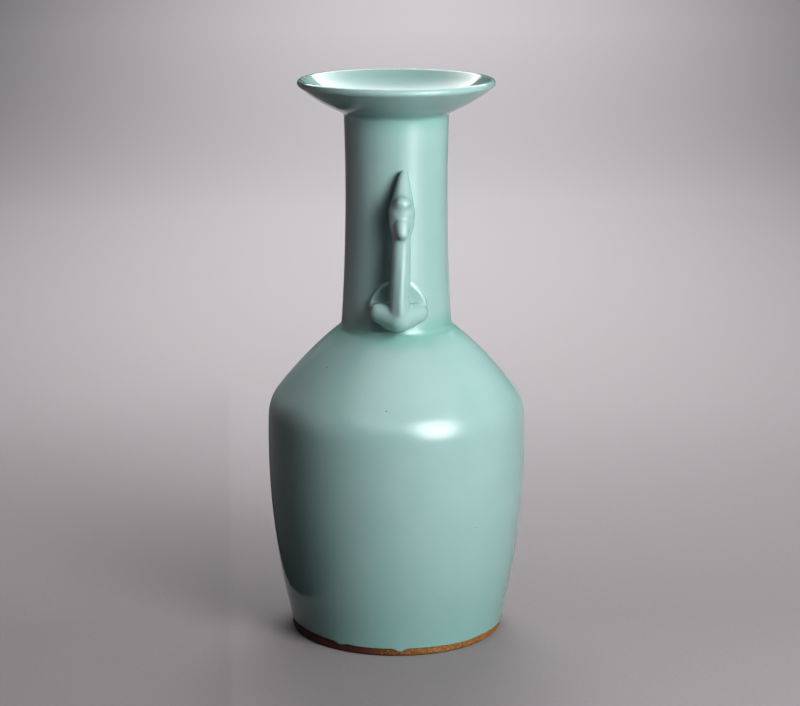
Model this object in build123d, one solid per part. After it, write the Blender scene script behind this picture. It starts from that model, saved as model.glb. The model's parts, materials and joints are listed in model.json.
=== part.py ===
"""Mallet-shaped celadon vase with two bird handles, in millimetres.

It stands on its foot ring, with the origin at the centre of the ring's lower face and +Z up. One handle is at
the front (-Y) and its twin at the back (+Y). Five thrown sections are luted with slip, each handle is pressed
in two halves and luted to the neck, and glaze covers all but the foot ring.
"""

from build123d import *

import os
from math import cos, hypot, radians, sin, tan

# Coats
GLAZE = 1.0
SLIP = 0.6

# Foot
FOOT_RADIUS = 52.6
FOOT_RING_WIDTH = 7.5
BARE_BAND = 3.6
RECESS_DEPTH = 5.0
FLOOR_THICKNESS = 8.0
FLOOR_ROUND = 10.0

# Drum, from its foot to the corner where its side would meet the shoulder
DRUM_FOOT_RADIUS = 55.2
DRUM_FOOT_RISE = 6.9
DRUM_FOOT_BULGE = 0.7
DRUM_HEIGHT = 118.0
DRUM_TOP_RADIUS = 64.4
DRUM_BULGE = 3.7
DRUM_WALL = 6.5
DRUM_SEAM_HEIGHT = 58.8

# Shoulder
SHOULDER_RISE = 39.4
SHOULDER_BULGE = 2.0
SHOULDER_WALL = 6.0
SHOULDER_TURN = 24.0
SHOULDER_INNER_TURN = 18.0
SHOULDER_SEAM_DROP = 12.0

# Neck
NECK_LENGTH = 106.1
NECK_BASE_RADIUS = 27.7
NECK_TOP_RADIUS = 26.0
NECK_WAIST = 1.35
NECK_WALL = 5.0
NECK_BASE_TURN = 4.0
NECK_INNER_TURN = 6.0
NECK_SEAM_RISE = 4.0
MOUTH_SEAM_DROP = 4.0
SEAM_SLOPE = 30.0

# Dish mouth
DISH_RISE = 16.5
RIM_RADIUS = 48.8
LIP_RADIUS = 1.9
DISH_UNDER_SLOPE = 40.0
DISH_INNER_SLOPE = 45.0
DISH_FLOOR_RISE = 4.8
DISH_TURN = 2.5
BORE_TURN = 3.0

# Bird handle, lower end: swept wings, breast and the pad behind them
WING_RISE = 12.4
WING_SPAN = 28.8
WING_THICKNESS = 13.0
WING_ROOT = 4.0
WING_SWEEP = 8.0
BREAST_REACH = 6.0
BREAST_LENGTH = 21.0
BREAST_WIDTH = 14.0
PAD_RADIUS = 12.5
PAD_LIFT = 2.0
PAD_REACH = 2.8
PAD_ROUND = 1.6
STEM_REACH = 8.5
STEM_LOWER_RADIUS = 5.3
STEM_UPPER_RADIUS = 4.3

# Bird handle, head: its middle below the neck's top, then places out from its axis and up from its middle
HEAD_DROP = 47.5
HEAD_SET_BACK = 2.0
HEAD_LENGTH = 22.0
HEAD_WIDTH = 12.2
BEAK_REACH = 8.2
BEAK_DROP = 9.3
BEAK_ROOT_LIFT = 4.4
BEAK_WIDTH = 7.2
BROW_REACH = 4.2
BROW_LIFT = 8.8
BROW_RADIUS = 3.4
CREST_LIFT = 22.8
CREST_BASE_RADIUS = 6.0
CREST_TIP_RADIUS = 1.6
NAPE_LIFT = 14.0
NAPE_RADIUS = 4.0

# Heights, slopes and lengths that follow from the sizes above
NECK_BASE_HEIGHT = DRUM_HEIGHT + SHOULDER_RISE
NECK_TOP_HEIGHT = NECK_BASE_HEIGHT + NECK_LENGTH
HEIGHT = NECK_TOP_HEIGHT + DISH_RISE
FOOT_INNER_RADIUS = FOOT_RADIUS - FOOT_RING_WIDTH
SHOULDER_SLOPE = SHOULDER_RISE / (DRUM_TOP_RADIUS - NECK_BASE_RADIUS)
DISH_SLOPE = DISH_RISE / (RIM_RADIUS - NECK_TOP_RADIUS)
STEM_LENGTH = NECK_LENGTH - HEAD_DROP - WING_RISE
LIP_CENTRE = (RIM_RADIUS - LIP_RADIUS, HEIGHT - LIP_RADIUS)

# Half-sections are drawn this far past the axis, and cutters reach this far
PAST_AXIS = 15.0
FAR = 2 * HEIGHT

# Turned faces close on a line in this direction, clear of the handles and of the middle planes
CLOSING_LINE = 37.0

# Round forms are made standing on their own origin
UPRIGHT = (Align.CENTER, Align.CENTER, Align.MIN)


def heading(angle):
    """A direction in the half-section, as (radius, height)."""
    return (cos(radians(angle)), sin(radians(angle)))


def on_lip(angle, depth):
    """A point of the round lip at a depth below its glaze, by its angle from the outward direction."""
    across, up = heading(angle)
    radius = LIP_RADIUS - depth
    return (LIP_CENTRE[0] + radius * across, LIP_CENTRE[1] + radius * up)


def under_shoulder(radius, depth):
    """A point at a depth below the straight line from the drum's top to the neck's base."""
    along = NECK_BASE_HEIGHT + (NECK_BASE_RADIUS - radius) * SHOULDER_SLOPE
    return (radius, along - depth * hypot(1, SHOULDER_SLOPE))


def over_neck(radius, depth):
    """A point at a depth above the straight line from the neck's top to the rim."""
    along = NECK_TOP_HEIGHT + (radius - NECK_TOP_RADIUS) * DISH_SLOPE
    return (radius, along + depth * hypot(1, DISH_SLOPE))


def block(low_radius, high_radius, low, high):
    """A rectangle of the half-section."""
    middle = Pos((low_radius + high_radius) / 2, (low + high) / 2)
    return middle * Rectangle(high_radius - low_radius, high - low)


def rounded(section, corner, radius):
    """The half-section with the corner nearest to a point made round."""
    return fillet(section.vertices().sort_by_distance(corner)[0], radius)


def turned(section):
    """The solid that a half-section makes on the wheel."""
    half = section & block(0, FAR, -FAR, FAR)
    return Rot(0, 0, CLOSING_LINE) * revolve(Plane.XZ * half, Axis.Z)


def outside(depth):
    """Half-section of the outside at a depth below its glaze, filled to the axis, above the bare foot."""
    edge = (FOOT_RADIUS + GLAZE - depth, BARE_BAND)
    drum_foot = (DRUM_FOOT_RADIUS - depth, BARE_BAND + DRUM_FOOT_RISE)
    drum_top = under_shoulder(DRUM_TOP_RADIUS - depth, depth)
    neck_base = under_shoulder(NECK_BASE_RADIUS - depth, depth)
    neck_top = over_neck(NECK_TOP_RADIUS - depth, depth)
    under_lip = on_lip(DISH_UNDER_SLOPE - 90, depth)
    crest = on_lip(90, depth)
    section = make_face(
        [
            Line((-PAST_AXIS, BARE_BAND), edge),
            SagittaArc(edge, drum_foot, -DRUM_FOOT_BULGE),
            SagittaArc(drum_foot, drum_top, -DRUM_BULGE),
            SagittaArc(drum_top, neck_base, -SHOULDER_BULGE),
            SagittaArc(neck_base, neck_top, NECK_WAIST),
            TangentArc(under_lip, neck_top, tangent=heading(180 + DISH_UNDER_SLOPE)),
            CenterArc(LIP_CENTRE, LIP_RADIUS - depth, DISH_UNDER_SLOPE - 90, 180 - DISH_UNDER_SLOPE),
            Line(crest, (-PAST_AXIS, crest[1])),
            Line((-PAST_AXIS, crest[1]), (-PAST_AXIS, BARE_BAND)),
        ]
    )
    section = rounded(section, drum_top, SHOULDER_TURN - depth)
    section = rounded(section, neck_base, NECK_BASE_TURN + depth)
    return rounded(section, neck_top, DISH_TURN + depth)


def inside(depth):
    """Half-section of the hollow, grown by a depth into the wall: body, bore and dish."""
    floor = RECESS_DEPTH + FLOOR_THICKNESS - depth
    drum_foot = (DRUM_FOOT_RADIUS - DRUM_WALL + depth, floor)
    drum_top = under_shoulder(DRUM_TOP_RADIUS - DRUM_WALL + depth, SHOULDER_WALL - depth)
    neck_base = under_shoulder(NECK_BASE_RADIUS - NECK_WALL + depth, SHOULDER_WALL - depth)
    bore_top = (NECK_TOP_RADIUS - NECK_WALL + depth, NECK_TOP_HEIGHT + DISH_FLOOR_RISE - depth)
    over_lip = on_lip(90 + DISH_INNER_SLOPE, depth)
    crest = on_lip(90, depth)
    section = make_face(
        [
            Line((-PAST_AXIS, floor), drum_foot),
            SagittaArc(drum_foot, drum_top, -DRUM_BULGE),
            SagittaArc(drum_top, neck_base, -SHOULDER_BULGE),
            SagittaArc(neck_base, bore_top, NECK_WAIST),
            TangentArc(over_lip, bore_top, tangent=heading(180 + DISH_INNER_SLOPE)),
            CenterArc(LIP_CENTRE, LIP_RADIUS - depth, 90, DISH_INNER_SLOPE),
            Line(crest, (crest[0], FAR)),
            Line((crest[0], FAR), (-PAST_AXIS, FAR)),
            Line((-PAST_AXIS, FAR), (-PAST_AXIS, floor)),
        ]
    )
    section = rounded(section, drum_foot, FLOOR_ROUND + depth)
    section = rounded(section, drum_top, SHOULDER_INNER_TURN + depth)
    section = rounded(section, neck_base, NECK_INNER_TURN - depth)
    return rounded(section, bore_top, BORE_TURN - depth)


def seam_band(height, radius=0.0, slope=0.0):
    """Half-section of a slip layer through the wall, at a height where it meets a radius."""
    rise = tan(radians(slope))
    inner = height - radius * rise
    outer = inner + FAR * rise
    return make_face(Polyline((0, inner), (FAR, outer), (FAR, outer + SLIP), (0, inner + SLIP), close=True))


def thrown_sections():
    """The five clay sections and the four slip seams between them."""
    foot = block(-PAST_AXIS, FOOT_RADIUS, 0, BARE_BAND + DRUM_FOOT_RISE)
    recess = block(-PAST_AXIS, FOOT_INNER_RADIUS, 0, RECESS_DEPTH)
    clay = outside(GLAZE) + foot - recess - inside(GLAZE)
    seams = {
        "drum_seam": seam_band(DRUM_SEAM_HEIGHT),
        "shoulder_seam": seam_band(DRUM_HEIGHT - SHOULDER_SEAM_DROP),
        "neck_seam": seam_band(NECK_BASE_HEIGHT + NECK_SEAM_RISE, NECK_BASE_RADIUS, SEAM_SLOPE),
        "mouth_seam": seam_band(NECK_TOP_HEIGHT - MOUTH_SEAM_DROP, NECK_TOP_RADIUS, SEAM_SLOPE),
    }
    names = ["lower_drum", "upper_drum", "shoulder", "neck", "dish_mouth"]
    sections = (clay - list(seams.values())).faces().sort_by(Axis.Y)
    pieces = {name: turned(section) for name, section in zip(names, sections)}
    for name, band in seams.items():
        pieces[name] = turned(clay & band)
    return pieces


def egg(length, width):
    """A round form, longest along its own Z axis."""
    half = Ellipse(width / 2, length / 2) & block(0, width, -length, length)
    return revolve(Plane.XZ * half, Axis.Z)


def on_handle(reach, rise, across=0.0):
    """A place on the front handle: out from the neck's axis, up from its base and across to the right."""
    return Vector(across, -reach, NECK_BASE_HEIGHT + rise)


def between(start, end):
    """A plane at the start that faces the end, and the distance."""
    return Plane(start, z_dir=end - start), (end - start).length


def wing(side, inset):
    """One wing, from its root across the middle plane to its tip, which sweeps back to the neck."""
    reach = NECK_BASE_RADIUS + BREAST_REACH
    root = on_handle(reach, WING_RISE, -side * WING_ROOT)
    tip = on_handle(reach - WING_SWEEP, WING_RISE, side * WING_SPAN / 2)
    plane, length = between(root, tip)
    return plane * Pos(0, 0, length / 2) * egg(length - 2 * inset, WING_THICKNESS - 2 * inset)


def handle_foot(inset):
    """The handle's lower end: two wings, the breast between them and a round pad against the neck."""
    centre = on_handle(NECK_BASE_RADIUS + BREAST_REACH, WING_RISE)
    breast = Location(centre) * egg(BREAST_LENGTH - 2 * inset, BREAST_WIDTH - 2 * inset)
    pad = Cylinder(PAD_RADIUS - inset, NECK_BASE_RADIUS + PAD_REACH - inset, align=UPRIGHT)
    pad = fillet(pad.edges().sort_by(Axis.Z)[-1], PAD_ROUND)
    pad = Plane(on_handle(0, WING_RISE + PAD_LIFT), z_dir=(0, -1, 0)) * pad
    return breast + pad + wing(-1, inset) + wing(1, inset)


def handle_head(inset):
    """The bird's head: beak and brow in front, a crest that leans back to the neck, and a nape behind."""
    reach = NECK_BASE_RADIUS + STEM_REACH - HEAD_SET_BACK
    rise = WING_RISE + STEM_LENGTH
    centre = on_handle(reach, rise)
    skull = Location(centre) * egg(HEAD_LENGTH - 2 * inset, HEAD_WIDTH - 2 * inset)
    root = on_handle(reach, rise + BEAK_ROOT_LIFT)
    beak_plane, beak_length = between(root, on_handle(reach + BEAK_REACH, rise - BEAK_DROP))
    beak = beak_plane * Pos(0, 0, beak_length / 2) * egg(beak_length - 2 * inset, BEAK_WIDTH - 2 * inset)
    brow = Location(on_handle(reach + BROW_REACH, rise + BROW_LIFT)) * Sphere(BROW_RADIUS - inset)
    tip = on_handle(NECK_TOP_RADIUS, rise + CREST_LIFT)
    crest_plane, crest_length = between(centre, tip)
    crest = crest_plane * Cone(
        CREST_BASE_RADIUS - inset, CREST_TIP_RADIUS - inset, crest_length - inset, align=UPRIGHT
    )
    nape_reach = -(centre + (tip - centre) * (NAPE_LIFT / CREST_LIFT)).Y
    nape = Cylinder(NAPE_RADIUS - inset, nape_reach, align=UPRIGHT)
    return skull + beak + brow + crest + Plane(on_handle(0, rise + NAPE_LIFT), z_dir=(0, -1, 0)) * nape


def bird(inset):
    """The front handle's form, with every surface drawn in by the inset, and reaching into the neck."""
    stem = Cone(STEM_LOWER_RADIUS - inset, STEM_UPPER_RADIUS - inset, STEM_LENGTH, align=UPRIGHT)
    stem_foot = on_handle(NECK_BASE_RADIUS + STEM_REACH, WING_RISE)
    return handle_foot(inset) + Location(stem_foot) * stem + handle_head(inset)


def handle_pieces():
    """The front handle's two clay halves, its two slip pads and its glaze coat."""
    clay_form = bird(GLAZE)
    slipped_neck = turned(outside(GLAZE - SLIP))
    clay = clay_form - slipped_neck
    slip = (clay_form & slipped_neck) - turned(outside(GLAZE))
    left_side = Pos(-FAR / 2, 0, 0) * Box(FAR, 2 * FAR, 2 * FAR)
    stem_middle = NECK_BASE_HEIGHT + WING_RISE + STEM_LENGTH / 2
    upper_part = Pos(0, 0, stem_middle + FAR / 2) * Box(2 * FAR, 2 * FAR, FAR)
    return {
        "handle_left_half": clay & left_side,
        "handle_right_half": clay - left_side,
        "handle_head_slip": slip & upper_part,
        "handle_wing_slip": slip - upper_part,
        "handle_glaze": bird(0) - turned(outside(0)) - clay_form,
    }


def glaze_coats():
    """The outside, inside and base coats. The outside is left open where the handles are luted on."""
    outer = turned(outside(0) - outside(GLAZE) - inside(GLAZE))
    front_handle = bird(GLAZE)
    base = block(-PAST_AXIS, FOOT_INNER_RADIUS, RECESS_DEPTH - GLAZE, RECESS_DEPTH)
    return {
        "outer_glaze": outer - front_handle - Rot(0, 0, 180) * front_handle,
        "inner_glaze": turned(inside(GLAZE) - inside(0)),
        "base_glaze": turned(base),
    }


def vase():
    """Every piece of the vase, by name."""
    pieces = thrown_sections()
    for name, piece in handle_pieces().items():
        pieces["front_" + name] = piece
        pieces["back_" + name] = Rot(0, 0, 180) * piece
    pieces.update(glaze_coats())
    return pieces


os.makedirs("parts", exist_ok=True)
for node, piece in vase().items():
    export_step(piece, f"parts/{node}.step")
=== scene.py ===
import json
import math

import bpy
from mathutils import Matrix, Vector


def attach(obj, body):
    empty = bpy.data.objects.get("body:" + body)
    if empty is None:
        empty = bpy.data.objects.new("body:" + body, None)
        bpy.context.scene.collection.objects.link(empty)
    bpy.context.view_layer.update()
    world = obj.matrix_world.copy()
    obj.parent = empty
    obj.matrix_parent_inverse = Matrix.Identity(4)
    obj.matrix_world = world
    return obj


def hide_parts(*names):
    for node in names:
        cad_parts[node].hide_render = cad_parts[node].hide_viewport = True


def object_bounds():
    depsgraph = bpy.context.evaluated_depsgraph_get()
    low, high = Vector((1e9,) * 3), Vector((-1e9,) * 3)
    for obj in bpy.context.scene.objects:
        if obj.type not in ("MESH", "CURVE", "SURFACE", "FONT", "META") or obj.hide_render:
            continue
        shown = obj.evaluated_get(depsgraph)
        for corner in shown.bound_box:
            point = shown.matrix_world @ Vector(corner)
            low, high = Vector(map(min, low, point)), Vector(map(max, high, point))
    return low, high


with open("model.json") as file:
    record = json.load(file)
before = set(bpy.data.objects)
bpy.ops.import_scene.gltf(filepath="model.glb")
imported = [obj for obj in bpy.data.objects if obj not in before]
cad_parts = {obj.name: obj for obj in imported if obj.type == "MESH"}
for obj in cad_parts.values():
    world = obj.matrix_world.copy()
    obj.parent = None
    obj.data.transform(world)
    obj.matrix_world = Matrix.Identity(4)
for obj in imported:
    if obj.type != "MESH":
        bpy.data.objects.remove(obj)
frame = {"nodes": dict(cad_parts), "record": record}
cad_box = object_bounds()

# Sizes are in millimetres, as the potter would give them, and heights are above the standing surface
MM = 0.001
HEIGHT = cad_box[1].z / MM

# Coat: how thick the glaze lies, where it stops above the foot, and how thick the shell of it is drawn
GLAZE = 1.0
GLAZE_EDGE = 3.9
SHELL = 0.7

# Foot ring, the lean of its side and how far that goes on under the glaze, and the recess under the base
FOOT_RADIUS = 53.6
FOOT_RING_WIDTH = 8.5
FOOT_EDGE_ROUND = 1.0
FOOT_DRAFT = 0.2
UNDER_GLAZE = 1.0
RECESS_DEPTH = 5.0
RECESS_ROUND = 0.8
DRUM_SEAM_HEIGHT = 58.8

# Glaze inside the foot ring: how far it climbs the ring, the form of its edge, and how far its foot spreads
BASE_CLIMB = 1.6
BASE_EDGE_WIDTH = 0.4
BASE_EDGE_LIFT = 0.1
BASE_EDGE_ROUND = 0.2
BASE_HOLLOW = -0.7
BASE_SPREAD = 3.5

# Corners of the outside: radius, height, how far the line to the next corner bulges, radius of the turn
ROLLED_EDGE = (FOOT_RADIUS - 0.1, GLAZE_EDGE, 0.2, 0.0)
ROLLED_TOP = (FOOT_RADIUS + 0.5, GLAZE_EDGE + 0.9, 0.1, 0.0)
DRUM_FOOT = (55.2, 10.5, 3.7, 0.0)
DRUM_TOP = (64.4, 118.0, 2.0, 24.0)
NECK_BASE = (27.7, 157.4, -1.35, 4.0)
NECK_TOP = (26.0, HEIGHT - 16.5, 1.05, 2.5)
LIP_RADIUS = 1.9
LIP_CENTRE = (46.9, HEIGHT - LIP_RADIUS)
LIP_START = -50.0
LIP_END = 135.0
DISH_HOLLOW = -2.45

# Corners of the inside, in the same form
BORE_TOP = (21.0, HEIGHT - 11.7, 1.35, 3.0)
BORE_BASE = (22.7, 154.0, -2.0, 6.0)
INSIDE_SHOULDER = (57.9, 116.2, -3.7, 18.0)
INSIDE_FLOOR = (48.7, 13.0, 0.0, 10.0)

# How finely outlines are drawn and spun, how near two points are one, and which edges are shaded smooth
OUTLINE_STEP = 0.5
LONGEST_STEP = 3.2
SHARPEST_BEND = math.radians(6)
SPIN_STEPS = 216
SAME_PLACE = 0.001
CREASE = 50.0
NO_CREASE = 180.0

# Unevenness that the hand leaves: length and depth of its waves
GLAZE_WAVE = (34.0, 0.07)
CLAY_WAVE = (2.5, 0.06)
BASE_WAVE = (15.0, 0.08)

# Bird handle: places are out from the vase's axis and up from the standing surface
BIRD_LEAN = 0.025
BIRD_MIDDLE = 214.0
BODY_PLACE = (30.6, 167.2)
BODY_SIZE = (22.0, 13.6, 15.0)
KEEL_PLACE = (35.4, 166.9)
KEEL_RADIUS = 6.6
WING_PLACE = (31.0, 169.3)
WING_SPREAD = 9.4
WING_RADIUS = 5.1
PAD_PLACE = (26.1, 171.0)
PAD_BACK = 22.0
PAD_HALF_HEIGHT = 12.8
PAD_STRETCH = 1.12
PAD_BOTTOM = 168.0
STEM_FOOT = (36.6, 169.0)
STEM_TOP = (34.2, 216.0)
STEM_LOWER_RADIUS = 5.2
STEM_UPPER_RADIUS = 4.5
RIDGE_FOOT = (40.4, 171.0)
RIDGE_TOP = (35.9, 214.0)
RIDGE_RADIUS = 2.2
HEAD_PLACE = STEM_TOP
HEAD_SIZE = (12.6, 8.2, 22.6)
BEAK_ROOT = (37.6, 213.7)
BEAK_TIP = (40.2, 209.7)
BEAK_ROOT_RADIUS = 3.8
BEAK_TIP_RADIUS = 3.1
BROW_PLACE = (36.0, 223.4)
BROW_SIZE = (8.6, 8.0, 8.6)
CREST_ROOT = (33.0, 219.0)
CREST_TIP = (28.0, 236.8)
CREST_ROOT_RADIUS = 6.6
CREST_TIP_RADIUS = 2.4
CREST_ASIDE = 0.8
NAPE_PLACE = (30.2, 229.0)
NAPE_RADIUS = 3.0

# Slice of the neck that the handle is melted on to: how far it lies under the neck's surface, and its ends
SLICE_DEPTH = 0.12
SLICE_BACK = 22.6
SLICE_BOTTOM = 152.0
SLICE_TOP = 246.0
SLICE_LEAST_RADIUS = 24.0
SLICE_MOST_RADIUS = 40.0
SLICE_KEEPS_EVERY = 3

# How finely the handle is drawn: its lumps and rods, the grid and smoothing of its skin, the grid of its clay
LUMP_SEGMENTS = 40
LUMP_RINGS = 24
ROD_SIDES = 48
MELT_GRID = 0.4
MELT_ROUNDS = 48
CLAY_GRID = 0.7


# Outlines, as (radius, height) in millimetres


def arc(start, end, bulge):
    """Points of a round line between two places, which bulges to the right of its way."""
    start, end = Vector(start[:2]), Vector(end[:2])
    chord = end - start
    count = max(4, round(chord.length / OUTLINE_STEP))
    if bulge == 0:
        return [start.lerp(end, step / count) for step in range(count + 1)]
    half = chord.length / 2
    radius = (half * half + bulge * bulge) / (2 * bulge)
    right = Vector((chord.y, -chord.x)).normalized()
    centre = (start + end) / 2 + right * (bulge - radius)
    sweep = 4 * math.atan(bulge / half)
    points = []
    for step in range(count + 1):
        angle = sweep * step / count
        spoke = start - centre
        across = spoke.x * math.cos(angle) - spoke.y * math.sin(angle)
        up = spoke.x * math.sin(angle) + spoke.y * math.cos(angle)
        points.append(centre + Vector((across, up)))
    return points


def round_turn(before, after, radius):
    """Two runs of points as one, with a round turn in place of the corner that they share."""
    if radius == 0:
        return before + after[1:]
    corner = after[0]
    bend = (before[-1] - before[-2]).angle(after[1] - after[0])
    reach = radius * math.tan(bend / 2)
    before = [point for point in before if (point - corner).length > reach]
    after = [point for point in after if (point - corner).length > reach]
    start, end = before[-1], after[0]
    way_in = (before[-1] - before[-2]).normalized()
    way_out = (after[1] - after[0]).normalized()
    bend = way_in.angle(way_out)
    pull = (end - start).length / (2 * math.sin(bend / 2)) * 4 / 3 * math.tan(bend / 4)
    lead, trail = start + way_in * pull, end - way_out * pull
    count = max(6, round(bend * radius / OUTLINE_STEP))
    turn = []
    for step in range(1, count):
        t = step / count
        s = 1 - t
        turn.append(start * s ** 3 + lead * 3 * s * s * t + trail * 3 * s * t * t + end * t ** 3)
    return before + turn + after


def outline(corners):
    """A line through corners given as radius, height, bulge to the next corner and radius of the turn."""
    runs = [arc(here, there, here[2]) for here, there in zip(corners, corners[1:])]
    points = runs[0]
    for corner, run in zip(corners[1:], runs[1:]):
        points = round_turn(points, run, corner[3])
    return points


def thinned(points):
    """The same line with only as many points as its bends need."""
    kept = points[:1]
    bend = 0.0
    for before, point, after in zip(points, points[1:], points[2:]):
        bend += (point - before).angle(after - point, 0.0)
        if bend > SHARPEST_BEND or (point - kept[-1]).length > LONGEST_STEP:
            kept.append(point)
            bend = 0.0
    return kept + points[-1:]


def on_lip(angle):
    """A place on the round lip, by its angle from the outward direction."""
    turn = math.radians(angle)
    return (LIP_CENTRE[0] + LIP_RADIUS * math.cos(turn), LIP_CENTRE[1] + LIP_RADIUS * math.sin(turn))


def coat_outline():
    """The glaze's surface from its rolled lower edge up the outside, over the lip and down to the floor."""
    lip_bulge = LIP_RADIUS * (1 - math.cos(math.radians((LIP_END - LIP_START) / 2)))
    return outline(
        [
            ROLLED_EDGE,
            ROLLED_TOP,
            DRUM_FOOT,
            DRUM_TOP,
            NECK_BASE,
            NECK_TOP,
            (*on_lip(LIP_START), lip_bulge, 0.0),
            (*on_lip(LIP_END), DISH_HOLLOW, 0.0),
            BORE_TOP,
            BORE_BASE,
            INSIDE_SHOULDER,
            INSIDE_FLOOR,
            (0.0, INSIDE_FLOOR[1], 0.0, 0.0),
        ]
    )


# Modelling steps that several pieces share


def start(name):
    """A new object with one point at the origin, left in edit mode."""
    bpy.ops.object.select_all(action="DESELECT")
    bpy.ops.mesh.primitive_plane_add(size=MM)
    piece = bpy.context.object
    piece.name = name
    piece.data.name = name
    bpy.ops.object.mode_set(mode="EDIT")
    bpy.ops.mesh.merge(type="CENTER")
    return piece


def hold(piece):
    """Take one piece in hand: select it alone and make it active."""
    bpy.ops.object.select_all(action="DESELECT")
    piece.select_set(True)
    bpy.context.view_layer.objects.active = piece


def spun(name, points):
    """A piece thrown on the wheel: a line of points drawn by extruding, then spun round the axis."""
    piece = start(name)
    place = Vector((0, 0, 0))
    for index, point in enumerate(points):
        goal = Vector((point[0], 0, point[1])) * MM
        if index == 0:
            bpy.ops.transform.translate(value=goal - place)
        else:
            bpy.ops.mesh.extrude_region_move(TRANSFORM_OT_translate={"value": goal - place})
        place = goal
    bpy.ops.mesh.select_all(action="SELECT")
    bpy.ops.mesh.spin(steps=SPIN_STEPS, angle=math.tau, center=(0, 0, 0), axis=(0, 0, 1))
    bpy.ops.mesh.select_all(action="SELECT")
    bpy.ops.mesh.remove_doubles(threshold=SAME_PLACE * MM)
    bpy.ops.mesh.normals_make_consistent(inside=False)
    bpy.ops.object.mode_set(mode="OBJECT")
    return piece


def pick(piece, wanted):
    """Select the points of a piece that a test wants, and leave it in edit mode."""
    bpy.ops.object.mode_set(mode="EDIT")
    bpy.ops.mesh.select_mode(type="VERT")
    bpy.ops.mesh.select_all(action="DESELECT")
    bpy.ops.object.mode_set(mode="OBJECT")
    for point in piece.data.vertices:
        point.select = wanted(point.co / MM)
    bpy.ops.object.mode_set(mode="EDIT")


def modify(piece, kind, **settings):
    """Add a modifier and apply it."""
    hold(piece)
    bpy.ops.object.modifier_add(type=kind)
    modifier = piece.modifiers[-1]
    for key, value in settings.items():
        setattr(modifier, key, value)
    bpy.ops.object.modifier_apply(modifier=modifier.name)


def uneven(piece, wave, depth):
    """Make a surface uneven, as a hand leaves it, in waves of a length and depth in millimetres."""
    clouds = bpy.data.textures.new(piece.name + "_unevenness", "CLOUDS")
    clouds.noise_scale = wave * MM
    modify(piece, "DISPLACE", texture=clouds, texture_coords="LOCAL", strength=2 * depth * MM, mid_level=0.5)


def smooth(piece, angle=CREASE):
    """Shade a piece smooth up to an angle in degrees."""
    bpy.ops.object.mode_set(mode="OBJECT")
    hold(piece)
    bpy.ops.object.shade_smooth_by_angle(angle=math.radians(angle))


# The pot's glaze coat, inside and out

# Runs and notches of the glaze's lower edge: degrees round from the front, drop and half-width
GLAZE_RUNS = [
    (-2, 1.5, 2.6),
    (-36, 0.9, 3.2),
    (-50, -0.9, 26),
    (-75, -1.2, 30),
    (31, 0.4, 14),
    (70, 0.6, 18),
    (115, -0.7, 25),
    (150, 0.8, 12),
    (196, -0.6, 20),
    (232, 0.7, 15),
    (262, -0.5, 22),
]

# Part of the edge that a run moves: how high it reaches, and how far at most it is moved whole
RUN_HEIGHT = 1.5
RUN_CORE = 3.0

# Swell of the coat, outside and inside, over the drum's slip seam
SEAM_RIDGE = 0.12


def glaze_coat():
    """One closed shell of glaze that covers the outside, the lip, the dish and the inside."""
    coat = spun("glaze_coat", thinned(coat_outline()))
    for angle, drop, width in GLAZE_RUNS:
        turn = math.radians(angle)
        place = Vector((FOOT_RADIUS * math.sin(turn), -FOOT_RADIUS * math.cos(turn), GLAZE_EDGE))
        core = min(RUN_CORE, width / 2)
        pick(coat, lambda point: point.z < GLAZE_EDGE + RUN_HEIGHT and (point - place).length < core)
        bpy.ops.transform.translate(
            value=(0, 0, -drop * MM),
            use_proportional_edit=True,
            proportional_edit_falloff="SMOOTH",
            proportional_size=width * MM,
        )
    pick(coat, lambda point: abs(point.z - DRUM_SEAM_HEIGHT) < LONGEST_STEP / 2)
    growth = 1 + SEAM_RIDGE / DRUM_TOP[0]
    bpy.ops.transform.resize(value=(growth, growth, 1))
    bpy.ops.object.mode_set(mode="OBJECT")
    uneven(coat, *GLAZE_WAVE)
    modify(coat, "SOLIDIFY", thickness=SHELL * MM, offset=-1)
    smooth(coat)
    return coat


# Clay that shows: the foot ring, and the lower drum that it belongs to


def clay_foot():
    """The lower drum of clay, with the bare foot ring that it stands on."""
    ring_inner = FOOT_RADIUS - FOOT_RING_WIDTH
    clay_foot_corner = (DRUM_FOOT[0] - GLAZE, DRUM_FOOT[1], DRUM_FOOT[2], 0.0)
    outer = outline([clay_foot_corner, (DRUM_TOP[0] - GLAZE, DRUM_TOP[1])])
    inner = outline(
        [
            (INSIDE_SHOULDER[0] + GLAZE, INSIDE_SHOULDER[1], INSIDE_SHOULDER[2], 0.0),
            (INSIDE_FLOOR[0] + GLAZE, INSIDE_FLOOR[1] - GLAZE, 0.0, INSIDE_FLOOR[3] + GLAZE),
            (0.0, INSIDE_FLOOR[1] - GLAZE, 0.0, 0.0),
        ]
    )
    foot = outline(
        [
            (0.0, RECESS_DEPTH, 0.0, 0.0),
            (ring_inner, RECESS_DEPTH, 0.0, RECESS_ROUND),
            (ring_inner, 0.0, 0.0, FOOT_EDGE_ROUND),
            (FOOT_RADIUS, 0.0, 0.0, FOOT_EDGE_ROUND),
            (FOOT_RADIUS - FOOT_DRAFT, GLAZE_EDGE + UNDER_GLAZE, 0.0, FOOT_EDGE_ROUND),
            (clay_foot_corner[0], clay_foot_corner[1], 0.0, 0.0),
        ]
    )
    below = [point for point in outer[1:] if point.y < DRUM_SEAM_HEIGHT]
    above = [point for point in inner if point.y < DRUM_SEAM_HEIGHT]
    piece = spun("clay_foot", thinned(foot + below + above))
    uneven(piece, *CLAY_WAVE)
    smooth(piece)
    return piece


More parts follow.
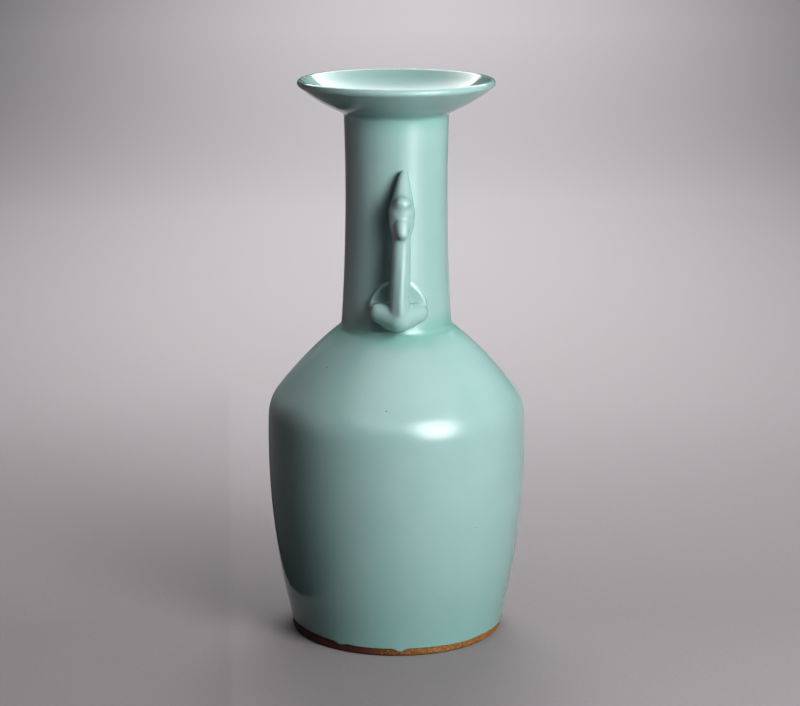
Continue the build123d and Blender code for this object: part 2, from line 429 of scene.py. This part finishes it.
def base_coat():
    """The pool of glaze inside the foot ring, which climbs a little where it meets the ring."""
    ring_inner = FOOT_RADIUS - FOOT_RING_WIDTH
    skin = RECESS_DEPTH - GLAZE
    edge = skin - BASE_CLIMB
    piece = spun(
        "base_coat",
        thinned(
            outline(
                [
                    (0.0, RECESS_DEPTH, 0.0, 0.0),
                    (ring_inner, RECESS_DEPTH, 0.0, 0.0),
                    (ring_inner, edge, 0.0, BASE_EDGE_ROUND),
                    (ring_inner - BASE_EDGE_WIDTH, edge + BASE_EDGE_LIFT, BASE_HOLLOW, 0.0),
                    (ring_inner - BASE_SPREAD, skin, 0.0, 0.0),
                    (0.0, skin, 0.0, 0.0),
                ]
            )
        ),
    )
    uneven(piece, *BASE_WAVE)
    smooth(piece)
    return piece


# Bird handle at the front


def at_front(reach, height, across=0.0):
    """A place on the front handle, in metres. The handle was set on a little askew."""
    return Vector((across + BIRD_LEAN * (height - BIRD_MIDDLE), -reach, height)) * MM


def lump(place, size):
    """An egg of clay pressed on, with its size across, out and up."""
    half = [side / 2 * MM for side in size]
    bpy.ops.mesh.primitive_uv_sphere_add(
        segments=LUMP_SEGMENTS, ring_count=LUMP_RINGS, radius=1, location=place, scale=half
    )


def rod(start_place, end_place, start_radius, end_radius):
    """A rod of clay that tapers from one place to another."""
    way = end_place - start_place
    bpy.ops.mesh.primitive_cone_add(
        vertices=ROD_SIDES,
        radius1=start_radius * MM,
        radius2=end_radius * MM,
        depth=way.length,
        location=(start_place + end_place) / 2,
        rotation=way.to_track_quat("Z", "Y").to_euler(),
    )


def finger(start_place, end_place, start_radius, end_radius):
    """A rod of clay with round ends, which it leaves straight on."""
    way = end_place - start_place
    slant = (start_radius - end_radius) * MM / way.length
    narrowing = math.sqrt(1 - slant * slant)
    step = way.normalized() * slant * MM
    rod(
        start_place + step * start_radius,
        end_place + step * end_radius,
        start_radius * narrowing,
        end_radius * narrowing,
    )
    lump(start_place, (2 * start_radius,) * 3)
    lump(end_place, (2 * end_radius,) * 3)


def neck_slice(name):
    """The front slice of the neck, a little under its glaze, left in edit mode."""
    section = [
        (point.x - SLICE_DEPTH, point.y - SLICE_DEPTH / 2)
        for point in coat_outline()
        if SLICE_BOTTOM < point.y < SLICE_TOP and SLICE_LEAST_RADIUS < point.x < SLICE_MOST_RADIUS
    ]
    piece = spun(name, [(0, SLICE_BOTTOM), *section[::SLICE_KEEPS_EVERY], (0, SLICE_TOP)])
    bpy.ops.object.mode_set(mode="EDIT")
    bpy.ops.mesh.select_all(action="SELECT")
    bpy.ops.mesh.bisect(
        plane_co=(0, -SLICE_BACK * MM, 0), plane_no=(0, 1, 0), use_fill=True, clear_outer=True
    )
    return piece


def press_bird():
    """Lumps and rods of clay in the form of the front bird: pad, winged body, stem, head, beak and crest."""
    rod(at_front(PAD_BACK, PAD_PLACE[1]), at_front(*PAD_PLACE), PAD_HALF_HEIGHT, PAD_HALF_HEIGHT)
    bpy.ops.transform.resize(value=(PAD_STRETCH, 1, 1))
    bpy.ops.mesh.bisect(
        plane_co=(0, 0, PAD_BOTTOM * MM), plane_no=(0, 0, 1), use_fill=True, clear_inner=True
    )
    lump(at_front(*BODY_PLACE), BODY_SIZE)
    for side in (-1, 1):
        finger(at_front(*KEEL_PLACE), at_front(*WING_PLACE, side * WING_SPREAD), KEEL_RADIUS, WING_RADIUS)
    finger(at_front(*STEM_FOOT), at_front(*STEM_TOP), STEM_LOWER_RADIUS, STEM_UPPER_RADIUS)
    finger(at_front(*RIDGE_FOOT), at_front(*RIDGE_TOP), RIDGE_RADIUS, RIDGE_RADIUS)
    lump(at_front(*HEAD_PLACE), HEAD_SIZE)
    lump(at_front(*BROW_PLACE), BROW_SIZE)
    finger(at_front(*BEAK_ROOT), at_front(*BEAK_TIP), BEAK_ROOT_RADIUS, BEAK_TIP_RADIUS)
    finger(at_front(*CREST_ROOT), at_front(*CREST_TIP, CREST_ASIDE), CREST_ROOT_RADIUS, CREST_TIP_RADIUS)
    rod(at_front(SLICE_BACK, NAPE_PLACE[1]), at_front(*NAPE_PLACE), NAPE_RADIUS, NAPE_RADIUS)


def melted(piece):
    """Make one skin of a piece's lumps and smooth it, as clay and glaze do."""
    bpy.ops.object.mode_set(mode="OBJECT")
    modify(piece, "REMESH", mode="VOXEL", voxel_size=MELT_GRID * MM)
    modify(piece, "SMOOTH", iterations=MELT_ROUNDS)


def bird_glaze(name):
    """The glaze of the front handle, which runs on to the neck in a soft turn."""
    piece = neck_slice(name)
    press_bird()
    melted(piece)
    smooth(piece, NO_CREASE)
    return piece


def bird_half(name, side):
    """One of the two pressed halves of clay under the glaze, left or right of the middle."""
    piece = start(name)
    press_bird()
    melted(piece)
    bpy.ops.object.mode_set(mode="EDIT")
    bpy.ops.mesh.select_all(action="SELECT")
    bpy.ops.transform.shrink_fatten(value=-GLAZE * MM)
    bpy.ops.object.mode_set(mode="OBJECT")
    modify(piece, "REMESH", mode="VOXEL", voxel_size=CLAY_GRID * MM)
    bpy.ops.object.mode_set(mode="EDIT")
    bpy.ops.mesh.select_all(action="SELECT")
    bpy.ops.mesh.bisect(
        plane_co=(0, 0, 0), plane_no=(side, 0, 0), use_fill=True, clear_inner=True, threshold=SAME_PLACE * MM
    )
    smooth(piece)
    return piece


def turned_round(piece, name):
    """A twin of a piece on the other side of the vase, with its own mesh."""
    hold(piece)
    bpy.ops.object.duplicate()
    twin = bpy.context.object
    twin.name = name
    twin.data.name = name
    bpy.ops.transform.rotate(value=math.pi, orient_axis="Z", center_override=(0, 0, 0))
    bpy.ops.object.transform_apply(location=True, rotation=True, scale=True)
    return twin


# Materials


def colour(code):
    """An sRGB hex colour as a linear one."""
    parts = [int(code[place:place + 2], 16) / 255 for place in (1, 3, 5)]
    linear = [part / 12.92 if part <= 0.04045 else ((part + 0.055) / 1.055) ** 2.4 for part in parts]
    return (*linear, 1.0)


def per_metre(size):
    """The texture scale that gives a pattern this size in millimetres."""
    return 1 / (size * MM)


def add(tree, kind, inputs, **settings):
    """A shader node with its settings, and with inputs that are values or other nodes' outputs."""
    node = tree.nodes.new(kind)
    for key, value in settings.items():
        setattr(node, key, value)
    for key, value in inputs.items():
        if isinstance(value, bpy.types.NodeSocket):
            tree.links.new(value, node.inputs[key])
        else:
            node.inputs[key].default_value = value
    return node


def set_stops(ramp, levels, reach):
    """Give a ramp's stops their greys, from levels listed as a place along a reach and a brightness."""
    stops = ramp.color_ramp.elements
    while len(stops) < len(levels):
        stops.new(1.0)
    for stop, (place, level) in zip(stops, levels):
        stop.position = place / reach
        stop.color = (level, level, level, 1)


def new_material(name):
    """An empty material and its node tree."""
    material = bpy.data.materials.new(name)
    material.use_nodes = True
    material.node_tree.nodes.clear()
    return material, material.node_tree


# Where the glaze lies thick, as heights in millimetres and how much it pools there
POOLS = [
    (0, 0.45),
    (10, 0.42),
    (26, 0.26),
    (50, 0.06),
    (75, 0.0),
    (150, 0.0),
    (156, 0.7),
    (160, 0.7),
    (167, 0.0),
    (255, 0.0),
    (263, 0.6),
    (267, 0.3),
    (272, 0.0),
]

# Iron specks in the glaze: one to a cell of this size, in few of the cells, and their radius
SPECK_CELL = 9.0
SPECKLESS_SHARE = 0.93
SPECK_RADIUS = 0.405


def celadon_glaze():
    """Celadon over stoneware, fired in a smoky kiln: deep, glossy, soft blue-green, darker where it pools."""
    material, tree = new_material("celadon_glaze")
    place = add(tree, "ShaderNodeTexCoord", {}).outputs["Object"]
    height = add(tree, "ShaderNodeSeparateXYZ", {"Vector": place}).outputs["Z"]
    share = add(tree, "ShaderNodeMath", {0: height, 1: HEIGHT * MM}, operation="DIVIDE").outputs[0]
    pools = add(tree, "ShaderNodeValToRGB", {"Fac": share})
    set_stops(pools, POOLS, HEIGHT)
    cloud = add(tree, "ShaderNodeTexNoise", {"Vector": place, "Scale": per_metre(22), "Detail": 3.0})
    mottle = add(
        tree,
        "ShaderNodeMix",
        {0: cloud.outputs["Fac"], 6: colour("#8BAFAB"), 7: colour("#98B8B4")},
        data_type="RGBA",
    )
    pooled = add(
        tree,
        "ShaderNodeMix",
        {0: pools.outputs["Color"], 6: mottle.outputs[2], 7: colour("#6FA79D")},
        data_type="RGBA",
    )
    cells = add(tree, "ShaderNodeTexVoronoi", {"Vector": place, "Scale": per_metre(SPECK_CELL)})
    rare = add(tree, "ShaderNodeSeparateColor", {"Color": cells.outputs["Color"]}).outputs["Red"]
    chosen = add(tree, "ShaderNodeMath", {0: rare, 1: SPECKLESS_SHARE}, operation="GREATER_THAN").outputs[0]
    close = add(
        tree,
        "ShaderNodeMath",
        {0: cells.outputs["Distance"], 1: SPECK_RADIUS / SPECK_CELL},
        operation="LESS_THAN",
    ).outputs[0]
    speck = add(tree, "ShaderNodeMath", {0: chosen, 1: close}, operation="MULTIPLY").outputs[0]
    specked = add(
        tree,
        "ShaderNodeMix",
        {0: speck, 6: pooled.outputs[2], 7: colour("#4C6F66")},
        data_type="RGBA",
    )
    gloss = add(tree, "ShaderNodeMapRange", {"Value": cloud.outputs["Fac"], "To Min": 0.09, "To Max": 0.14})
    peel = add(tree, "ShaderNodeTexNoise", {"Vector": place, "Scale": per_metre(4), "Detail": 2.0})
    bump = add(
        tree,
        "ShaderNodeBump",
        {"Height": peel.outputs["Fac"], "Strength": 0.06, "Distance": 0.3 * MM},
    )
    shader = add(
        tree,
        "ShaderNodeBsdfPrincipled",
        {
            "Base Color": specked.outputs[2],
            "Roughness": gloss.outputs["Result"],
            "Normal": bump.outputs["Normal"],
            "IOR": 1.52,
        },
    )
    add(tree, "ShaderNodeOutputMaterial", {"Surface": shader.outputs["BSDF"]})
    return material


# Bare clay, painted darker on its left as shade where the light doesn't reach: where that painted shade ends
# and its orange side starts, to the right of the middle
PAINTED_SHADE_FROM = -26.0
PAINTED_SHADE_TO = 18.0

# Share of its grains that aren't pale
PLAIN_GRAINS = 0.86


def stoneware_with_painted_shade():
    """Bare stoneware, a deep orange-brown, with painted shade that darkens its left side where the light
    doesn't reach: rough, with grains of sand.
    """
    material, tree = new_material("stoneware_with_painted_shade")
    place = add(tree, "ShaderNodeTexCoord", {}).outputs["Object"]
    grit = add(tree, "ShaderNodeTexNoise", {"Vector": place, "Scale": per_metre(0.9), "Detail": 5.0})
    aside = add(tree, "ShaderNodeSeparateXYZ", {"Vector": place}).outputs["X"]
    # Painted shade: the clay goes from its orange to a deep brown towards its left, where the light doesn't
    # reach
    painted_shading = add(
        tree,
        "ShaderNodeMapRange",
        {"Value": aside, "From Min": PAINTED_SHADE_FROM * MM, "From Max": PAINTED_SHADE_TO * MM},
        interpolation_type="SMOOTHSTEP",
    )
    painted_shade_clay = add(
        tree,
        "ShaderNodeMix",
        {0: painted_shading.outputs["Result"], 6: colour("#431606"), 7: colour("#8F5A24")},
        data_type="RGBA",
    )
    grains = add(tree, "ShaderNodeTexVoronoi", {"Vector": place, "Scale": per_metre(0.6)})
    pale = add(tree, "ShaderNodeSeparateColor", {"Color": grains.outputs["Color"]}).outputs["Green"]
    chosen = add(tree, "ShaderNodeMath", {0: pale, 1: PLAIN_GRAINS}, operation="GREATER_THAN").outputs[0]
    # Pale grains show only outside the painted shade on the left
    shown = add(
        tree, "ShaderNodeMath", {0: chosen, 1: painted_shading.outputs["Result"]}, operation="MULTIPLY"
    ).outputs[0]
    sandy = add(
        tree,
        "ShaderNodeMix",
        {0: shown, 6: painted_shade_clay.outputs[2], 7: colour("#AD8448")},
        data_type="RGBA",
    )
    dark = add(tree, "ShaderNodeMapRange", {"Value": grit.outputs["Fac"], "From Min": 0.5, "From Max": 0.72})
    gritty = add(
        tree,
        "ShaderNodeMix",
        {0: dark.outputs["Result"], 6: sandy.outputs[2], 7: colour("#2E1609")},
        data_type="RGBA",
    )
    bump = add(
        tree,
        "ShaderNodeBump",
        {"Height": grit.outputs["Fac"], "Strength": 0.6, "Distance": 0.4 * MM},
    )
    shader = add(
        tree,
        "ShaderNodeBsdfPrincipled",
        {
            "Base Color": gritty.outputs[2],
            "Roughness": 0.85,
            "Specular IOR Level": 0.2,
            "Normal": bump.outputs["Normal"],
        },
    )
    add(tree, "ShaderNodeOutputMaterial", {"Surface": shader.outputs["BSDF"]})
    return material


def fired_slip():
    """Slip that lutes the joints, fired to a fine pale matt skin."""
    material, tree = new_material("fired_slip")
    place = add(tree, "ShaderNodeTexCoord", {}).outputs["Object"]
    wash = add(tree, "ShaderNodeTexNoise", {"Vector": place, "Scale": per_metre(3), "Detail": 4.0})
    tone = add(
        tree,
        "ShaderNodeMix",
        {0: wash.outputs["Fac"], 6: colour("#A89C8C"), 7: colour("#BDB2A2")},
        data_type="RGBA",
    )
    bump = add(
        tree,
        "ShaderNodeBump",
        {"Height": wash.outputs["Fac"], "Strength": 0.3, "Distance": 0.1 * MM},
    )
    shader = add(
        tree,
        "ShaderNodeBsdfPrincipled",
        {"Base Color": tone.outputs[2], "Roughness": 0.7, "Normal": bump.outputs["Normal"]},
    )
    add(tree, "ShaderNodeOutputMaterial", {"Surface": shader.outputs["BSDF"]})
    return material


# Pieces, and the solids that they stand for

finishes = {"celadon_glaze": celadon_glaze(), "stoneware": stoneware_with_painted_shade(), "slip": fired_slip()}
pieces = [
    (glaze_coat(), "celadon_glaze", ["outer_glaze", "inner_glaze"]),
    (clay_foot(), "stoneware", ["lower_drum"]),
    (base_coat(), "celadon_glaze", ["base_glaze"]),
]
for part, slot, piece in (
    ("glaze", "celadon_glaze", bird_glaze("front_bird_glaze")),
    ("left_half", "stoneware", bird_half("front_bird_left_half", -1)),
    ("right_half", "stoneware", bird_half("front_bird_right_half", 1)),
):
    pieces.append((piece, slot, ["front_handle_" + part]))
    pieces.append((turned_round(piece, "back_bird_" + part), slot, ["back_handle_" + part]))
for piece, slot, nodes in pieces:
    piece.data.materials.clear()
    piece.data.materials.append(finishes[slot])
    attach(piece, "root")
    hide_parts(*nodes)

for subpart in frame["record"]["subparts"]:
    solid = frame["nodes"][subpart["node"]]
    solid.data.materials.clear()
    solid.data.materials.append(finishes[subpart["material_slot"]])


# Stage: a pale floor that brightens behind the vase, and soft boxes

FLOOR_SIZE = 16.0

# Brightness that the floor shows by itself, by its distance behind the vase in metres
FLOOR_GLOW = [(0.0, 0.0), (0.45, 0.23), (1.3, 0.5), (3.4, 0.62)]
GLOW_REACH = 3.4

# The bright pool's half-width at the vase, how it spreads towards the back, and how it slants to the right
GLOW_WIDTH = 0.27
GLOW_SPREAD = 0.09
GLOW_SLANT = 0.092


def studio_floor():
    """A wide mauve-grey paper floor, which a pool of light brightens towards the back."""
    bpy.ops.object.select_all(action="DESELECT")
    bpy.ops.mesh.primitive_plane_add(size=FLOOR_SIZE)
    floor = bpy.context.object
    floor.name = "floor"
    material, tree = new_material("matt_paper")
    place = add(tree, "ShaderNodeTexCoord", {}).outputs["Object"]
    tooth = add(tree, "ShaderNodeTexNoise", {"Vector": place, "Scale": per_metre(2.0), "Detail": 3.0})
    tone = add(
        tree,
        "ShaderNodeMix",
        {0: tooth.outputs["Fac"], 6: colour("#736E70"), 7: colour("#7C7779")},
        data_type="RGBA",
    )
    where = add(tree, "ShaderNodeSeparateXYZ", {"Vector": place})
    back = add(tree, "ShaderNodeMath", {0: where.outputs["Y"], 1: GLOW_REACH}, operation="DIVIDE").outputs[0]
    pool = add(tree, "ShaderNodeValToRGB", {"Fac": back})
    set_stops(pool, FLOOR_GLOW, GLOW_REACH)
    width = add(
        tree,
        "ShaderNodeMath",
        {0: where.outputs["Y"], 1: GLOW_SPREAD, 2: GLOW_WIDTH},
        operation="MULTIPLY_ADD",
    ).outputs[0]
    middle = add(
        tree,
        "ShaderNodeMath",
        {0: where.outputs["Y"], 1: -GLOW_SLANT, 2: where.outputs["X"]},
        operation="MULTIPLY_ADD",
    ).outputs[0]
    aside = add(tree, "ShaderNodeMath", {0: middle, 1: width}, operation="DIVIDE").outputs[0]
    square = add(tree, "ShaderNodeMath", {0: aside, 1: aside}, operation="MULTIPLY").outputs[0]
    fall = add(tree, "ShaderNodeMath", {0: square, 1: -0.5}, operation="MULTIPLY").outputs[0]
    edge = add(tree, "ShaderNodeMath", {0: fall}, operation="EXPONENT").outputs[0]
    glow = add(tree, "ShaderNodeMath", {0: pool.outputs["Color"], 1: edge}, operation="MULTIPLY").outputs[0]
    ray = add(tree, "ShaderNodeLightPath", {})
    seen = add(
        tree,
        "ShaderNodeMath",
        {0: ray.outputs["Is Camera Ray"], 1: ray.outputs["Is Glossy Ray"]},
        operation="ADD",
    ).outputs[0]
    seen = add(
        tree,
        "ShaderNodeMath",
        {0: seen, 1: ray.outputs["Is Transmission Ray"]},
        operation="ADD",
        use_clamp=True,
    ).outputs[0]
    strength = add(tree, "ShaderNodeMath", {0: glow, 1: seen}, operation="MULTIPLY").outputs[0]
    # The floor is darker for the light that it throws back on to the vase
    shown = add(
        tree,
        "ShaderNodeMix",
        {0: seen, 6: colour("#343334"), 7: tone.outputs[2]},
        data_type="RGBA",
    )
    shader = add(
        tree,
        "ShaderNodeBsdfPrincipled",
        {
            "Base Color": shown.outputs[2],
            "Roughness": 0.9,
            "Emission Color": colour("#FFF9FE"),
            "Emission Strength": strength,
        },
    )
    add(tree, "ShaderNodeOutputMaterial", {"Surface": shader.outputs["BSDF"]})
    floor.data.materials.append(material)


# Where a soft box starts to fade and where it ends, as shares of its width from its middle
FADE_START = 0.12
FADE_END = 0.5


def soft_light(name, place, aim, size, radiance, edge, rising=False, lights_matt=True, shines=True):
    """A soft box that fades to a share at its edge, from its middle or, if rising, from foot to top."""
    lamp = bpy.data.lights.new(name, "AREA")
    lamp.shape = "RECTANGLE"
    lamp.size, lamp.size_y = size
    lamp.energy = radiance * math.pi * lamp.size * lamp.size_y
    lamp.use_nodes = True
    tree = lamp.node_tree
    tree.nodes.clear()
    spot = add(tree, "ShaderNodeNewGeometry", {}).outputs["Parametric"]
    if rising:
        away = add(tree, "ShaderNodeSeparateXYZ", {"Vector": spot}).outputs["Y"]
        span = {"From Min": 0.0, "From Max": 1.0}
    else:
        middle = (0.5, 0.5, 0.0)
        away = add(tree, "ShaderNodeVectorMath", {0: spot, 1: middle}, operation="DISTANCE").outputs["Value"]
        span = {"From Min": FADE_START, "From Max": FADE_END}
    fade = add(
        tree,
        "ShaderNodeMapRange",
        {"Value": away, **span, "To Min": 1.0, "To Max": edge},
        interpolation_type="SMOOTHSTEP",
    )
    glow = add(tree, "ShaderNodeEmission", {"Strength": fade.outputs["Result"]})
    add(tree, "ShaderNodeOutputLight", {"Surface": glow.outputs["Emission"]})
    box = bpy.data.objects.new(name, lamp)
    bpy.context.scene.collection.objects.link(box)
    box.location = place
    box.rotation_euler = (Vector(aim) - Vector(place)).to_track_quat("-Z", "Y").to_euler()
    box.visible_camera = False
    box.visible_diffuse = lights_matt
    box.visible_glossy = shines


# A card that leans away from the vase at its left: its foot and top, left and up, and its front and back
CARD_FOOT = (-0.085, 0.001)
CARD_TOP = (-0.30, 0.45)
CARD_FRONT = -0.35
CARD_BACK = 0.5

# Places along the card, as shares from its middle to its back: its dark front's end, and its fade to the back
CARD_LIT_FROM = -0.218
CARD_FADE_FROM = -0.03
CARD_FADE_TO = 0.15
CARD_BACK_GLOW = 0.1

# How bright the card is by height in metres, and the faint glow above its foot that all of it has
CARD_GLOW = [(0.0, 0.0), (0.08, 0.0), (0.10, 0.05), (0.14, 0.36), (0.21, 0.36), (0.27, 0.25), (0.45, 0.2)]
CARD_DIMMEST = 0.15
CARD_FOOT_SHARE = 0.15


def left_card():
    """A dim card, black at its foot and dark at its front and back, which only reflections see."""
    rise = Vector(CARD_TOP) - Vector(CARD_FOOT)
    middle = (Vector(CARD_TOP) + Vector(CARD_FOOT)) / 2
    bpy.ops.object.select_all(action="DESELECT")
    bpy.ops.mesh.primitive_plane_add(
        size=1,
        location=(middle.x, (CARD_FRONT + CARD_BACK) / 2, middle.y),
        rotation=(0, math.atan2(-rise.y, rise.x), 0),
    )
    bpy.ops.transform.resize(value=(rise.length, CARD_BACK - CARD_FRONT, 1), orient_type="LOCAL")
    card = bpy.context.object
    card.name = "left_card"
    material, tree = new_material("dim_card")
    place = add(tree, "ShaderNodeTexCoord", {}).outputs["Object"]
    where = add(tree, "ShaderNodeSeparateXYZ", {"Vector": place})
    share = add(tree, "ShaderNodeMath", {0: where.outputs["X"], 1: 0.5}, operation="ADD").outputs[0]
    risen = add(tree, "ShaderNodeValToRGB", {"Fac": share})
    set_stops(risen, CARD_GLOW, CARD_TOP[1])
    ahead = add(
        tree,
        "ShaderNodeMapRange",
        {
            "Value": where.outputs["Y"],
            "From Min": CARD_FADE_FROM,
            "From Max": CARD_FADE_TO,
            "To Min": 1.0,
            "To Max": CARD_BACK_GLOW,
        },
        interpolation_type="SMOOTHSTEP",
    )
    lit = add(tree, "ShaderNodeMath", {0: where.outputs["Y"], 1: CARD_LIT_FROM}, operation="GREATER_THAN")
    glow = add(
        tree,
        "ShaderNodeMath",
        {0: ahead.outputs["Result"], 1: lit.outputs[0]},
        operation="MULTIPLY",
    )
    faint = add(
        tree,
        "ShaderNodeMapRange",
        {"Value": share, "From Max": CARD_FOOT_SHARE, "To Max": CARD_DIMMEST},
    )
    dim = add(
        tree,
        "ShaderNodeMath",
        {0: risen.outputs["Color"], 1: glow.outputs[0], 2: faint.outputs["Result"]},
        operation="MULTIPLY_ADD",
    )
    shader = add(tree, "ShaderNodeEmission", {"Strength": dim.outputs[0]})
    add(tree, "ShaderNodeOutputMaterial", {"Surface": shader.outputs["Emission"]})
    card.data.materials.append(material)
    card.visible_camera = False
    card.visible_diffuse = False
    card.visible_shadow = False


studio_floor()
left_card()
soft_light("side_box", (0.37, -0.60, 0.45), (0.0, 0.0, 0.30), (0.80, 0.80), 10.4, 0.12, lights_matt=False)
soft_light("side_lamp", (0.40, -0.575, 0.455), (0.0, 0.0, 0.24), (0.55, 0.55), 21.8, 0.12, shines=False)
soft_light("side_strip", (0.38, -0.62, 0.25), (0.0, 0.0, 0.20), (0.60, 0.50), 3.8, 0.0, lights_matt=False)
soft_light("back_box", (0.10, 0.80, 1.05), (0.0, 0.1, 0.1), (1.1, 0.5), 25.0, 0.0, shines=False)
soft_light(
    "back_scrim", (0.05, 0.75, 1.35), (0.0, 0.0, 0.27), (2.0, 1.4), 6.2, 0.0, rising=True, lights_matt=False
)
soft_light("front_scrim", (0.0, -0.45, 1.30), (0.0, -0.2, 0.0), (2.4, 1.0), 1.8, 0.4, lights_matt=False)
soft_light("front_panel", (-0.35, -1.10, 0.98), (0.0, 0.0, 0.12), (2.4, 0.9), 1.7, 0.6, lights_matt=False)
soft_light("right_panel", (1.30, -0.20, 0.75), (0.0, 0.0, 0.15), (2.2, 1.4), 0.5, 0.6, lights_matt=False)

world = bpy.data.worlds.new("dim_studio")
world.use_nodes = True
world.node_tree.nodes["Background"].inputs["Color"].default_value = colour("#242324")
bpy.context.scene.world = world

# Camera, where the photograph was taken from

CAMERA_REACH = 1128.0
CAMERA_HEIGHT = 405.0
CAMERA_ROUND = math.radians(-4.2)
CAMERA_PITCH = math.radians(13.13)
CAMERA_YAW = math.radians(-0.09)
FOCAL_PIXELS = 2299.0
IMAGE_WIDTH = 800.0
SENSOR_WIDTH = 36.0

camera_data = bpy.data.cameras.new("camera")
camera_data.sensor_width = SENSOR_WIDTH
camera_data.lens = FOCAL_PIXELS * SENSOR_WIDTH / IMAGE_WIDTH
camera = bpy.data.objects.new("camera", camera_data)
bpy.context.scene.collection.objects.link(camera)
camera.location = (
    CAMERA_REACH * math.sin(CAMERA_ROUND) * MM,
    -CAMERA_REACH * math.cos(CAMERA_ROUND) * MM,
    CAMERA_HEIGHT * MM,
)
camera.rotation_euler = (math.pi / 2 - CAMERA_PITCH, 0, CAMERA_ROUND + CAMERA_YAW)
bpy.context.scene.camera = camera
bpy.context.scene.view_settings.view_transform = "Standard"
